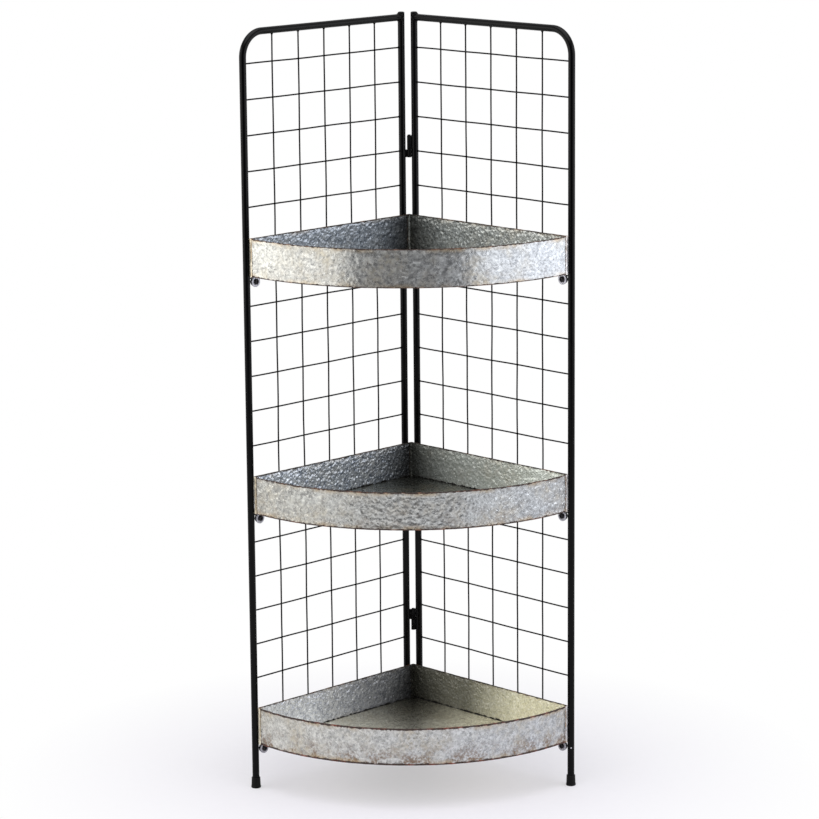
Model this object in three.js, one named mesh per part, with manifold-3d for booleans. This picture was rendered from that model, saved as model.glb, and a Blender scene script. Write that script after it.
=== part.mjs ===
// Folding corner shelf unit, in millimetres, with Z up.
// Two wire grid panels in tube frames stand at a right angle, hinged between their back posts.
// Three bow-fronted sheet metal trays rest in the corner, on pegs and ledges of the panels.
// The origin is on the floor, at the middle of the unit's outline.

import * as THREE from 'three';
import { mergeVertices } from 'three/addons/utils/BufferGeometryUtils.js';
import Module from 'manifold-3d';

const wasm = await Module();
wasm.setup();

// Fits
const clearance = 0.3; // air between pieces that meet
const overrun = 5; // how far a cut runs past the piece that it cuts
const mergeTolerance = 1e-4; // corners this near to each other are one corner

// Heights, from the floor up
const legClearance = 84.5; // floor to the underside of the lowest tray
const trayHeight = 69.5;
const tierPitch = 435; // from one tray to the next
const tierCount = 3;
const topGuard = 376; // rim of the highest tray to the top of the posts

// Tube frame of a panel
const tubeDiameter = 12.7;
const tubeWall = 1.2;
const panelWidth = 393.7; // axis of the back post to axis of the front post
const cornerBend = 45; // centreline radius of the bent top corner
const railDrop = 10.5; // top of the back post's cap to the axis of the top rail
const lowRailRise = 15.5; // underside of the lowest tray to the axis of the low rail
const postSpacing = 23.7; // axis to axis of the two back posts

// Caps of the back posts
const capDome = 3;
const capStem = 8;
const capEdge = 1.2; // how far the flat crown is drawn in

// Feet
const footHeight = 20;
const footTopDiameter = 16;
const footBottomDiameter = 18;
const footSole = 3;
const footEdge = 1;

// Wire grid of a panel
const wireDiameter = 2.2;
const columnPitch = 63.5;
const rowPitch = 64;
const firstRowGap = 54; // rim of a tray to the lowest row of wires above it
const wireWeld = 0.5; // how deep two crossing wires are welded into each other

// Trays
const sheet = 1;
const sideOverhang = 8.3; // how much longer a side wall is than its panel
const traySide = panelWidth + sideOverhang; // outer length of a side wall
const bowSwell = 20.4; // how much further the bowed front reaches than the side walls
const trayReach = traySide + bowSwell; // back corner to the middle of the bowed front
const tabWidth = 7; // the side wall's end, folded over the front wall
const floorRise = 4; // underside of the tray to the top of its floor

// Front pegs: a boss on the post, a ring and a screw
const pegInset = 14.4; // axis of the front post to the axis of the peg
const bossDiameter = 16.5;
const ringDiameter = 19.6;
const ringThickness = 3;
const shankDiameter = 5.4;
const headDiameter = 10.6;
const headHeight = 2.5;
const headEdge = 0.8;

// Rear ledges, set apart along the two panels so that they pass each other when folded
const ledgeThickness = 2;
const ledgeHeight = 14;
const ledgeWidth = 14;
const ledgeReach = 13; // plane of the panel to the ledge's inner edge
const ledgeStart = 10; // axis of the back post to the left ledge
const ledgeStagger = 16; // the right ledge starts so much further out

// Hinges between the back posts
const barrelDiameter = 8.2;
const hingeHeight = 40.5;
const pinDiameter = 4;
const pinHeadDiameter = 6.4;
const pinHeadHeight = 1.6;
const pinHeadEdge = 0.6;
const weldWidth = 5; // of the weld between a knuckle and its post
const upperHingeGap = 106; // rim of the highest tray to the upper hinge
const upperHingeSplit = 15; // height of the lower knuckle
const lowerHingeGap = 68; // rim of the lowest tray to the lower hinge
const lowerHingeSplit = 20.5;

// Smoothness
const tubeSides = 20;
const smallSides = 16;
const wireSides = 6;
const bendSteps = 9;
const bowSteps = 24;
const tabSteps = 2;

// Derived sizes
const tubeRadius = tubeDiameter / 2;
const seatRadius = tubeRadius + clearance; // round a tube, for what meets it
const undersides = Array.from({ length: tierCount }, (_, tier) => legClearance + tier * tierPitch);
const tierNames = ['bottom', 'middle', 'top'];
const topUnderside = undersides[tierCount - 1];
const overallHeight = topUnderside + trayHeight + topGuard;
const topRailHeight = overallHeight - railDrop;
const lowRailHeight = legClearance + lowRailRise;
const tubeStart = footSole + clearance;
const wireOffset = (wireDiameter - wireWeld) / 2;
const wireDepth = wireOffset + wireDiameter / 2; // plane of the panel to the face of the grid
const trayOffset = seatRadius; // plane of the panel to the outer face of a side wall
const barrelX = postSpacing / 2 - seatRadius - barrelDiameter / 2;
const boreRadius = pinDiameter / 2 + clearance;
const shankBore = shankDiameter / 2 + clearance;

// The bowed front is an arc through both front corners, with its middle on the bisector
const diagonal = Math.SQRT2;
const bowCentre = (trayReach ** 2 - traySide ** 2) / (2 * (diagonal * trayReach - traySide));
const bowRadius = trayReach - diagonal * bowCentre;
const trayCornerY = postSpacing / 2 - diagonal * trayOffset;
const originShift = (trayReach - trayCornerY - footBottomDiameter / 2) / 2;

// Panels: x runs outwards along the panel, and inward is the sign of y towards the trays
const quarter = Math.PI / 4;
const panels = [
  { name: 'left', x: -postSpacing / 2, turn: -3 * quarter, inward: 1, ledge: ledgeStart },
  { name: 'right', x: postSpacing / 2, turn: -quarter, inward: -1, ledge: ledgeStart + ledgeStagger },
];

// Materials
const finishes = {
  frame: { color: 0x1b1a1d, roughness: 0.45, metalness: 0.3 },
  wire: { color: 0x232226, roughness: 0.5, metalness: 0.3 },
  rubber: { color: 0x141414, roughness: 0.8, metalness: 0 },
  sheet: { color: 0xb9b6ab, roughness: 0.5, metalness: 0.6 },
  ring: { color: 0xb4b4b8, roughness: 0.45, metalness: 0.7 },
  screw: { color: 0x18171a, roughness: 0.45, metalness: 0.5 },
};

function mesh(name, finish, geometry) {
  const material = new THREE.MeshStandardMaterial({ ...finishes[finish], flatShading: true });
  const piece = new THREE.Mesh(geometry, material);
  piece.name = name;
  return piece;
}

// Solids: a closed geometry as a solid, and a solid as a geometry
function solid(geometry) {
  const bare = geometry.clone();
  bare.deleteAttribute('normal');
  bare.deleteAttribute('uv');
  const closed = mergeVertices(bare, mergeTolerance);
  return new wasm.Manifold(new wasm.Mesh({
    numProp: 3,
    vertProperties: new Float32Array(closed.attributes.position.array),
    triVerts: new Uint32Array(closed.index.array),
  }));
}

function geometryOf(body) {
  const { vertProperties, triVerts } = body.getMesh();
  const geometry = new THREE.BufferGeometry();
  geometry.setAttribute('position', new THREE.BufferAttribute(new Float32Array(vertProperties), 3));
  geometry.setIndex(new THREE.BufferAttribute(new Uint32Array(triVerts), 1));
  return geometry;
}

function joined(solids) {
  return solids.reduce((whole, piece) => whole.add(piece));
}

// Rods along one axis, from one place to another
function rodZ(radius, low, high, sides) {
  const rod = new THREE.CylinderGeometry(radius, radius, high - low, sides);
  return rod.rotateX(Math.PI / 2).translate(0, 0, (low + high) / 2);
}

function rodX(radius, low, high, sides) {
  const rod = new THREE.CylinderGeometry(radius, radius, high - low, sides);
  return rod.rotateZ(Math.PI / 2).translate((low + high) / 2, 0, 0);
}

function rodY(radius, low, high, sides) {
  const rod = new THREE.CylinderGeometry(radius, radius, Math.abs(high - low), sides);
  return rod.translate(0, (low + high) / 2, 0);
}

function block(lowX, highX, lowY, highY, lowZ, highZ) {
  const box = new THREE.BoxGeometry(highX - lowX, Math.abs(highY - lowY), highZ - lowZ);
  return box.translate((lowX + highX) / 2, (lowY + highY) / 2, (lowZ + highZ) / 2);
}

function ringShape(outer, inner) {
  const shape = new THREE.Shape();
  shape.absarc(0, 0, outer, 0, 2 * Math.PI);
  const hole = new THREE.Path();
  hole.absarc(0, 0, inner, 0, 2 * Math.PI);
  shape.holes.push(hole);
  return shape;
}

function pipeZ(outer, inner, low, high, sides) {
  const options = { depth: high - low, bevelEnabled: false, curveSegments: sides / 2 };
  return new THREE.ExtrudeGeometry(ringShape(outer, inner), options).translate(0, 0, low);
}

function tubeZ(low, high) {
  return pipeZ(tubeRadius, tubeRadius - tubeWall, low, high, tubeSides);
}

// A turned piece stands on its profile, which starts and ends on the axis or closes on itself
function turnedZ(profile, sides) {
  const points = profile.map(([radius, height]) => new THREE.Vector2(radius, height));
  return new THREE.LatheGeometry(points, sides).rotateX(Math.PI / 2);
}

// The round space that a post needs, for coping what meets it
function postCut(x) {
  const cut = rodZ(seatRadius, -overrun, overallHeight + overrun, tubeSides);
  return solid(cut.translate(x, 0, 0));
}

// A tube's route has its stations at the ends of the straights and evenly round the bend
class BentRoute extends THREE.Curve {
  constructor(stations) {
    super();
    this.stations = stations;
  }
  station(share) {
    return this.stations[Math.round(share * (this.stations.length - 1))];
  }
  getPointAt(share, target = new THREE.Vector3()) {
    return target.copy(this.station(share).point);
  }
  getTangentAt(share, target = new THREE.Vector3()) {
    return target.copy(this.station(share).tangent);
  }
}

// One bent tube is the front post, the rounded corner and the top rail
function outerTube() {
  const stations = [];
  const add = (x, z, angle) => stations.push({
    point: new THREE.Vector3(x, 0, z),
    tangent: new THREE.Vector3(-Math.sin(angle), 0, Math.cos(angle)),
  });
  add(panelWidth, tubeStart, 0);
  for (let step = 0; step <= bendSteps; step += 1) {
    const angle = (step / bendSteps) * Math.PI / 2;
    const x = panelWidth - cornerBend + cornerBend * Math.cos(angle);
    const z = topRailHeight - cornerBend + cornerBend * Math.sin(angle);
    add(x, z, angle);
  }
  add(0, topRailHeight, Math.PI / 2);
  const tube = new THREE.ExtrudeGeometry(ringShape(tubeRadius, tubeRadius - tubeWall), {
    steps: stations.length - 1,
    extrudePath: new BentRoute(stations),
    curveSegments: tubeSides / 2,
  });
  return geometryOf(solid(tube).subtract(postCut(0)));
}

function backPost() {
  return tubeZ(tubeStart, overallHeight - capDome - clearance);
}

function postCap() {
  const stemRadius = tubeRadius - tubeWall - clearance;
  const seat = overallHeight - capDome;
  return turnedZ([
    [0, seat - capStem],
    [stemRadius, seat - capStem],
    [stemRadius, seat],
    [tubeRadius, seat],
    [tubeRadius, overallHeight - capEdge],
    [tubeRadius - capEdge / 2, overallHeight - capEdge / 3],
    [tubeRadius - 2 * capEdge, overallHeight],
    [0, overallHeight],
  ], tubeSides);
}

function lowRail() {
  const rail = pipeZ(tubeRadius, tubeRadius - tubeWall, 0, panelWidth, tubeSides);
  const laid = solid(rail.rotateY(Math.PI / 2).translate(0, 0, lowRailHeight));
  return geometryOf(laid.subtract(postCut(0)).subtract(postCut(panelWidth)));
}

function foot() {
  const top = footTopDiameter / 2;
  const bottom = footBottomDiameter / 2;
  return turnedZ([
    [0, 0],
    [bottom - footEdge, 0],
    [bottom, footEdge],
    [bottom, footSole],
    [top, footHeight - footEdge],
    [top - footEdge / 2, footHeight],
    [seatRadius, footHeight],
    [seatRadius, footSole],
    [0, footSole],
  ], tubeSides);
}

// Rows of wires stand at an even pitch above each tray, and at the same pitch down behind it
function gridRows() {
  const rows = [];
  let below = lowRailHeight;
  undersides.forEach((underside, tier) => {
    const first = underside + trayHeight + firstRowGap;
    const ceiling = tier + 1 < tierCount ? undersides[tier + 1] : topRailHeight;
    for (let row = first - rowPitch; row > below + rowPitch / 2; row -= rowPitch) rows.push(row);
    for (below = first; below + rowPitch < ceiling - tubeDiameter; below += rowPitch) rows.push(below);
    rows.push(below);
  });
  return rows;
}

function gridColumns() {
  const count = Math.round(panelWidth / columnPitch) - 1;
  const first = (panelWidth - (count - 1) * columnPitch) / 2;
  return Array.from({ length: count }, (_, column) => first + column * columnPitch);
}

function wireGrid() {
  const radius = wireDiameter / 2;
  const lay = (geometry, y, z) => solid(geometry.translate(0, y, z));
  const rows = gridRows().map((height) => (
    lay(rodX(radius, seatRadius, panelWidth - seatRadius, wireSides), -wireOffset, height)));
  const low = lowRailHeight + seatRadius;
  const high = topRailHeight - seatRadius;
  const columns = gridColumns().map((x) => (
    solid(rodZ(radius, low, high, wireSides).translate(x, wireOffset, 0))));
  return geometryOf(joined([...columns, ...rows]));
}

// A knuckle of a hinge is welded to the post on one side of it
function knuckle(low, high, postX) {
  const barrel = solid(rodZ(barrelDiameter / 2, low, high, smallSides).translate(barrelX, 0, 0));
  const near = Math.min(postX, barrelX);
  const far = Math.max(postX, barrelX);
  const weld = solid(block(near, far, -weldWidth / 2, weldWidth / 2, low, high));
  const bore = rodZ(boreRadius, low - overrun, high + overrun, smallSides).translate(barrelX, 0, 0);
  return geometryOf(barrel.add(weld).subtract(solid(bore)).subtract(postCut(postX)));
}

function hingePin(low, high) {
  const radius = pinDiameter / 2;
  const headRadius = pinHeadDiameter / 2;
  const seat = high + clearance;
  const pin = turnedZ([
    [0, low],
    [radius, low],
    [radius, seat],
    [headRadius, seat],
    [headRadius, seat + pinHeadHeight - pinHeadEdge],
    [headRadius - pinHeadEdge, seat + pinHeadHeight],
    [0, seat + pinHeadHeight],
  ], smallSides);
  return pin.translate(barrelX, 0, 0);
}

function hinge(name, low, split, lowerSide) {
  const high = low + hingeHeight;
  const joint = low + split;
  const upperSide = lowerSide === 'left' ? 'right' : 'left';
  const postOf = (side) => panels.find((panel) => panel.name === side).x;
  const group = new THREE.Group();
  group.add(
    mesh(`${name}_hinge_${lowerSide}_knuckle`, 'frame', knuckle(low, joint - clearance, postOf(lowerSide))),
    mesh(`${name}_hinge_${upperSide}_knuckle`, 'frame', knuckle(joint, high, postOf(upperSide))),
    mesh(`${name}_hinge_pin`, 'frame', hingePin(low, high)),
  );
  return group;
}

// Front peg, with its axis across the panel: y is counted inwards from the panel's plane
function pegBoss(inward) {
  const start = inward * (wireDepth + clearance);
  const end = inward * tubeRadius;
  const body = solid(rodY(bossDiameter / 2, start, end, smallSides));
  const bore = solid(rodY(shankBore, 0, inward * (tubeRadius + overrun), smallSides));
  const post = rodZ(seatRadius, -bossDiameter, bossDiameter, tubeSides).translate(pegInset, 0, 0);
  return geometryOf(body.subtract(bore).subtract(solid(post)));
}

function pegRing(inward) {
  const start = inward * trayOffset;
  const end = inward * (trayOffset + ringThickness);
  const body = solid(rodY(ringDiameter / 2, start, end, tubeSides));
  return geometryOf(body.subtract(solid(rodY(shankBore, 0, inward * (trayOffset + overrun), smallSides))));
}

function pegScrew(inward) {
  const seat = trayOffset + ringThickness + clearance;
  const top = seat + headHeight;
  const profile = [
    [0, wireDepth + clearance],
    [shankDiameter / 2, wireDepth + clearance],
    [shankDiameter / 2, seat],
    [headDiameter / 2, seat],
    [headDiameter / 2, top - headEdge],
    [headDiameter / 2 - headEdge, top],
    [0, top],
  ];
  return turnedZ(profile, smallSides).rotateX(-inward * Math.PI / 2);
}

// Rear ledge: a plate beside the back post, bent in under the tray
function rearLedge(start, inward) {
  const face = wireDepth + clearance;
  const plateY = [inward * face, inward * (face + ledgeThickness)];
  const end = start + ledgeWidth;
  const plate = block(0, end, plateY[0], plateY[1], -ledgeHeight, 0);
  const shelf = block(start, end, plateY[0], inward * ledgeReach, -ledgeThickness, 0);
  const post = rodZ(seatRadius, -ledgeHeight - overrun, overrun, tubeSides);
  return geometryOf(solid(plate).add(solid(shelf)).subtract(solid(post)));
}

function panel({ name, x, turn, inward, ledge }) {
  const group = new THREE.Group();
  group.position.x = x;
  group.rotation.z = turn;
  const frontFoot = mesh(`${name}_front_foot`, 'rubber', foot());
  frontFoot.position.x = panelWidth;
  group.add(
    mesh(`${name}_outer_tube`, 'frame', outerTube()),
    mesh(`${name}_back_post`, 'frame', backPost()),
    mesh(`${name}_post_cap`, 'frame', postCap()),
    mesh(`${name}_low_rail`, 'frame', lowRail()),
    mesh(`${name}_wire_grid`, 'wire', wireGrid()),
    mesh(`${name}_back_foot`, 'rubber', foot()),
    frontFoot,
  );
  undersides.forEach((underside, tier) => {
    const tierName = tierNames[tier];
    const seat = underside - clearance;
    const peg = new THREE.Group();
    peg.position.set(panelWidth - pegInset, 0, seat - ringDiameter / 2);
    peg.add(
      mesh(`${name}_${tierName}_peg_boss`, 'frame', pegBoss(inward)),
      mesh(`${name}_${tierName}_peg_ring`, 'ring', pegRing(inward)),
      mesh(`${name}_${tierName}_peg_screw`, 'screw', pegScrew(inward)),
    );
    const support = mesh(`${name}_${tierName}_rear_ledge`, 'frame', rearLedge(ledge, inward));
    support.position.z = seat;
    group.add(peg, support);
  });
  return group;
}

// Trays: x runs along the left side wall and y along the right one, from the back corner
function upright(outline, low, high) {
  const shape = new THREE.Shape(outline.map(([x, y]) => new THREE.Vector2(x, y)));
  const options = { depth: high - low, bevelEnabled: false };
  return new THREE.ExtrudeGeometry(shape, options).translate(0, 0, low);
}

// The angle at which an arc round the bow's centre lies at a given distance from a side wall's face
function bowAngle(radius, offset) {
  return Math.asin((offset - bowCentre) / radius);
}

function bowArc(radius, from, to, steps) {
  return Array.from({ length: steps + 1 }, (_, step) => {
    const angle = from + (step / steps) * (to - from);
    return [bowCentre + radius * Math.cos(angle), bowCentre + radius * Math.sin(angle)];
  });
}

// A side wall ends in a tab that folds round the end of the front wall
function sideWallOutline(start) {
  const inner = bowRadius + clearance;
  const outer = inner + sheet;
  const tabAngle = bowAngle(inner, sheet) + tabWidth / inner;
  return [
    [start, 0],
    ...bowArc(outer, bowAngle(outer, 0), tabAngle, tabSteps),
    ...bowArc(inner, tabAngle, bowAngle(inner, sheet), tabSteps),
    [start, sheet],
  ];
}

function frontWallOutline() {
  const inner = bowRadius - sheet;
  const outerStart = bowAngle(bowRadius, sheet + clearance);
  const innerStart = bowAngle(inner, sheet + clearance);
  return [
    ...bowArc(bowRadius, outerStart, Math.PI / 2 - outerStart, bowSteps),
    ...bowArc(inner, Math.PI / 2 - innerStart, innerStart, bowSteps),
  ];
}

function floorOutline(inset) {
  const radius = bowRadius - inset;
  const start = bowAngle(radius, inset);
  return [[inset, inset], ...bowArc(radius, start, Math.PI / 2 - start, bowSteps)];
}

// The floor is a shallow pan whose turned-down edge stands on the pegs beside the walls
function trayFloor() {
  const inset = sheet + clearance;
  const pan = solid(upright(floorOutline(inset), 0, floorRise));
  const hollow = solid(upright(floorOutline(inset + sheet), -overrun, floorRise - sheet));
  return geometryOf(pan.subtract(hollow));
}

function tray(underside, tier) {
  const name = tierNames[tier];
  const group = new THREE.Group();
  group.position.set(0, trayCornerY, underside);
  group.rotation.z = -3 * quarter;
  const leftWall = sideWallOutline(0);
  const rightWall = sideWallOutline(sheet + clearance).map(([along, across]) => [across, along]);
  group.add(
    mesh(`${name}_tray_left_wall`, 'sheet', upright(leftWall, 0, trayHeight)),
    mesh(`${name}_tray_right_wall`, 'sheet', upright(rightWall, 0, trayHeight)),
    mesh(`${name}_tray_front_wall`, 'sheet', upright(frontWallOutline(), 0, trayHeight)),
    mesh(`${name}_tray_floor`, 'sheet', trayFloor()),
  );
  return group;
}

const unit = new THREE.Group();
unit.position.y = originShift;
unit.add(
  ...panels.map(panel),
  hinge('upper', topUnderside + trayHeight + upperHingeGap, upperHingeSplit, 'left'),
  hinge('lower', legClearance + trayHeight + lowerHingeGap, lowerHingeSplit, 'right'),
  ...undersides.map(tray),
);

export default unit;
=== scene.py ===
"""A folding corner shelf unit: two black wire panels, hinged, and three galvanised steel trays.

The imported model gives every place. This script dresses it: round bent tubes with their welds,
drawn wires, hammered sheet with rusty edges, and the small hardware. All lengths are in metres.
"""

import math

import bpy
import numpy as np
from mathutils import Matrix, Vector


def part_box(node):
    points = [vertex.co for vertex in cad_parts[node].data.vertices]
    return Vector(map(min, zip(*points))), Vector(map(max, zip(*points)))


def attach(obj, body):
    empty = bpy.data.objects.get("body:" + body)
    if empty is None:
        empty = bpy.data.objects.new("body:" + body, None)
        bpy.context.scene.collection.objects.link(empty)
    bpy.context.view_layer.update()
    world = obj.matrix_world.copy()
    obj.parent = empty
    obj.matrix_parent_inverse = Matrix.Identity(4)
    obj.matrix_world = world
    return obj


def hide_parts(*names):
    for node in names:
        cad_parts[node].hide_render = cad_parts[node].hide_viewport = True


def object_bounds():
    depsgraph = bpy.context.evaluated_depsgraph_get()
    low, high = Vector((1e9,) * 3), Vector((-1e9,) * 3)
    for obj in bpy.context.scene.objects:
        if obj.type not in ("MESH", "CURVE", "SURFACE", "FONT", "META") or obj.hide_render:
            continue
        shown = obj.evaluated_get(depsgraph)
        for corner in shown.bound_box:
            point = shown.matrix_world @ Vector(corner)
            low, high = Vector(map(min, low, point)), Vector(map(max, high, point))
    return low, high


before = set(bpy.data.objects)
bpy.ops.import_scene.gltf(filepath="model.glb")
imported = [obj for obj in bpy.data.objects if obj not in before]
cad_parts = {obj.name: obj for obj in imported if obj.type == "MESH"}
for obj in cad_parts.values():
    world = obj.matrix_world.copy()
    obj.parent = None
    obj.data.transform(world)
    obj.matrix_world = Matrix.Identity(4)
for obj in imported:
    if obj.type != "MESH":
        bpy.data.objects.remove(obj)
cad_low, cad_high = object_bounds()

MM = 0.001
SIDES = ("left", "right")
TIERS = ("bottom", "middle", "top")
X_WAY, Y_WAY = (1, 0, 0), (0, 1, 0)
CORE = 0.3 * MM  # radius at which a turned piece closes on its axis
BEVEL = 0.4 * MM
SMALL_SIDES = 36

# Camera: place, turns in degrees, lens and sensor in millimetres
CAMERA_PLACE = Vector((0.0305, -6.0131, 1.9477))
CAMERA_YAW, CAMERA_PITCH, CAMERA_ROLL = 0.306, -11.775, -0.507
CAMERA_LENS, CAMERA_SENSOR = 148.06, 36
CAMERA_REACH = 100

# Tube frame
TUBE_RADIUS = 6.35 * MM
TUBE_MOUTH = TUBE_RADIUS - 1 * MM
TUBE_END = TUBE_RADIUS * 0.6  # axis of a post to the end of a level tube inside it
TUBE_SIDES = 40
CORNER_BEND = 45 * MM
BEND_STEPS = 24
POST_STEPS, RAIL_STEPS, LOW_RAIL_STEPS = 12, 8, 12
RAIL_DROP = 10.5 * MM
LOW_RAIL_RISE = 15.5 * MM
CAP_HEIGHT = 3 * MM
CAP_STEM = 8 * MM

# Weld beads: round a tube's end, and upright beside a hinge
SADDLE_RADIUS = 1.5 * MM
SADDLE_LIFT, SADDLE_SWELL = 0.4 * MM, 1.03
SADDLE_STEPS, SADDLE_SIDES = 72, 10
SADDLE_RIPPLES, SADDLE_RIPPLE = 18, 0.16
BEAD_STEPS, BEAD_SIDES = 37, 8
BEAD_TURN, BEAD_RIPPLE, BEAD_TIP = 1.9, 0.15, 0.4

# Wire grid
WIRE_RADIUS = 1.4 * MM
WIRE_SIDES = 10
WIRE_STEPS = 28
WIRE_WAVES = (0.93, 0.41, 0.17)
WIRE_TIPS = (0, 1.2 * MM, 2.6 * MM)
WIRE_FLARES = (1.75, 1.35, 1.0)
ROW_SWAY = 0.7 * MM
COLUMN_SWAY = ROW_SWAY * 1.6
WIRE_OFFSET = 0.95 * MM
WIRE_END = TUBE_RADIUS * 0.97
COLUMNS = 5
COLUMN_PITCH = 63.5 * MM
ROW_PITCH = 64 * MM
FIRST_ROW_GAP = 54 * MM
SPOT_SIZES = (1.2, 1.6)
SPOT_LEVELS = (-1, -0.7, 0, 0.7, 1)
SPOT_WIDTHS = (0.3, 0.85, 1.1, 0.85, 0.3)
SPOT_HALF = 1.25 * MM
SPOT_SIDES = 8

# Feet
FOOT_TOP_RADIUS = 8 * MM
FOOT_BOTTOM_RADIUS = 9 * MM
FOOT_GRIP = TUBE_RADIUS + 0.1 * MM
FOOT_SOLE = 3 * MM

# Trays
SHEET = 1 * MM
JOIN_GAP = 0.3 * MM
TRAY_SIDE = 402 * MM
TAB_WIDTH = 7 * MM
FLANGE_WIDTH = 8 * MM
FOLD_RADIUS = 1.2 * MM
TAB_BEND = 3 * MM  # where the bend into the tab starts, short of the wall's end
FLANGE_BEND = 4 * MM
FLOOR_RISE = 4 * MM
SHEET_STEP = 2.2 * MM
RIM_WAVE, FOOT_WAVE = 0.35 * MM, 0.245 * MM
RIM_WAVES = (0.31, 0.12, 0.047, 0.019)
FOOT_WAVES = (0.23, 0.09, 0.031, 0.013)

# Hammer blows: their size and depth, and how they calm down near the ends and rims of a sheet
BLOWS = {"bottom": (9 * MM, 0.8 * MM), "middle": (10 * MM, 1.5 * MM), "top": (9 * MM, 1.2 * MM)}
FRONT_BLOWS = {"bottom": (8 * MM, 0.6 * MM), "middle": (8 * MM, 0.7 * MM),
               "top": (7 * MM, 0.36 * MM)}
BLOW_PERIOD, BLOW_REACH = 64, 0.8
FINE_SIZE, FINE_SHARE = 0.55, 0.3
CALM_REACH, CALM_LEAST = 4 * MM, 0.15
RIM_CALM, RIM_LEAST = 9, 0.25
FREE_END, PRESSED = 0.1 * MM, -0.4  # the outer face of a free end, in half sheets outwards

# Tray floors
FLOOR_STEPS = 80
FLOOR_HUB = 150 * MM
FLOOR_RAGGED, RAGGED_WAVES = 0.35 * MM, (0.061, 0.023, 0.011)
FLOOR_UNEVEN, ACROSS_WAVES, ALONG_WAVES = 0.45 * MM, (0.19, 0.083), (0.23, 0.071)
FLOOR_BLOW, FLOOR_DENT = 11 * MM, 0.25 * MM
FLOOR_SAG = 0.4 * MM
FLOOR_SHARES = (0.02, 0.985, 64)

# Wear and painted shade: distances that the finishes read, from raw edges and seams for wear, and
# from the tray's back corner for the painted shade
NOWHERE = 1.0
WEAR_REACH_MM = 30
SEAM_INSET = 1.5 * MM
FOLD_HIGHLIGHT_WIDTH = 2 * MM
FOLD_HIGHLIGHT_PLACES = {"middle": 60 * MM, "top": 120 * MM}  # painted highlight on the fold: the painted corner shade reads it as this far out, so it stays bright
# The floor's corner distance is drawn out into a wedge along the diagonal, for the painted shade
# and painted reflection of the dark corner; in the bottom tray the right side stays lighter
FLOOR_SHADE_SPREAD = 0.3
FLOOR_SHADE_LEANS = {"bottom": (1.3, 0.85), "middle": (0.65, 0.65), "top": (0.65, 0.65)}

# Pegs
PEG_INSET = 14.4 * MM
BOSS_RADIUS, BOSS_ROOT = 8.25 * MM, 2.3 * MM
RING_RADIUS = 9.8 * MM
RING_THICKNESS = 3 * MM
RING_HOLLOW = 0.35 * MM
SHANK_RADIUS, SHANK_ROOT = 2.7 * MM, 2.4 * MM
HEAD_RADIUS = 5.3 * MM
HEAD_HEIGHT = 2.5 * MM
HEAD_SINK = 0.3 * MM
SOCKET_RADIUS = 2.1 * MM
SOCKET_DEPTH = 1.3 * MM
RIVET_RADIUS, RIVET_DOME, RIVET_SINK = 1.5 * MM, 0.9 * MM, 0.4 * MM
RIVET_HEIGHT = 73 * MM
RIVET_SIDES = 20

# Rear ledges
LEDGE_STARTS = {"left": 10 * MM, "right": 26 * MM}
LEDGE_FACE = 2.3 * MM
LEDGE_WIDTH = 14 * MM
LEDGE_HEIGHT = 14 * MM
LEDGE_REACH = 13 * MM
LEDGE_THICKNESS = 2 * MM
LEDGE_BEND = 3 * MM
LEDGE_SOFT, LEDGE_SHRINK = 0.3 * MM, 0.03
ARM_LAP, ARM_DROP = 0.5 * MM, 3.2 * MM

# Hinges
BARREL_RADIUS = 4.1 * MM
PIN_RADIUS = 2 * MM
PIN_GAP = 0.2 * MM
PIN_HEAD_RADIUS = 3.2 * MM
PIN_HEAD_HEIGHT = 1.6 * MM
WEB_HALF = 2.5 * MM
WEB_WELD_RADIUS = 0.9 * MM
LONG_WELD_PLACE = 3.4 * MM
LONG_WELD_RADIUS = 2.2 * MM

# Seeds of the uneven forms
PANEL_SEEDS = {"left": 11, "right": 47}
TRAY_SEEDS = {"bottom": 100, "middle": 117, "top": 134}

# Colours on the sheets, from 0 to 255 as in a picture: wear, painted corner shade, tints and rust
TAN, SPECK, BROWN, STAIN = (170, 153, 116), (104, 78, 54), (112, 84, 58), (172, 150, 116)
SHADE, DEEP_SHADE, SEAM_DIRT = (46, 45, 40), (32, 31, 27), (24, 21, 18)
CREAM, LAVENDER, BLUE = (255, 254, 248), (243, 247, 255), (246, 249, 255)
DARK_RUST, RED_RUST, BROWN_RUST = (52, 37, 31), (126, 62, 42), (122, 80, 58)

# Rust: its reach from an edge in millimetres, its dark and bright colour, and its tan stains
FRONT_RUST = {"bottom": (3.0, DARK_RUST, RED_RUST, 0.7),
              "middle": (2.2, DARK_RUST, BROWN_RUST, 0.7),
              "top": (1.6, DARK_RUST, BROWN_RUST, 0.7)}
BACK_RUST = (1.8, (50, 42, 36), (130, 82, 48), 0.35)
TAB_RUST = (-0.6, (184, 148, 110), (212, 174, 134), 0.6)

# Looks of the sheets: a tray's row has a value for each sheet, in the order of their names
SHEETS = ("front_wall", "left_wall", "right_wall", "floor", "left_tab", "right_tab")
RELIEF = {"bottom": (0.65, 2.0, 2.4, 0.5, 0.4, 0.4),
          "middle": (0.85, 3.0, 2.0, 0.5, 0.4, 0.4),
          "top": (0.36, 2.0, 1.7, 0.5, 0.4, 0.4)}
METAL = {"bottom": (0.85, 0.38, 0.14, 0.3, 0.6, 0.6),
         "middle": (0.85, 0.52, 0.2, 0.35, 0.6, 0.6),
         "top": (0.85, 0.45, 0.45, 0.5, 0.6, 0.6)}
PATINA = {"bottom": (0.65, 0.25, 0.4, 0.6, 0.3, 0.3),
          "middle": (0.45, 0.25, 0.4, 0.6, 0.3, 0.3),
          "top": (0.55, 0.25, 0.4, 0.6, 0.3, 0.3)}
FRONT_GRIME = {"bottom": 0.9, "middle": 0.35, "top": 0.15}
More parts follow.
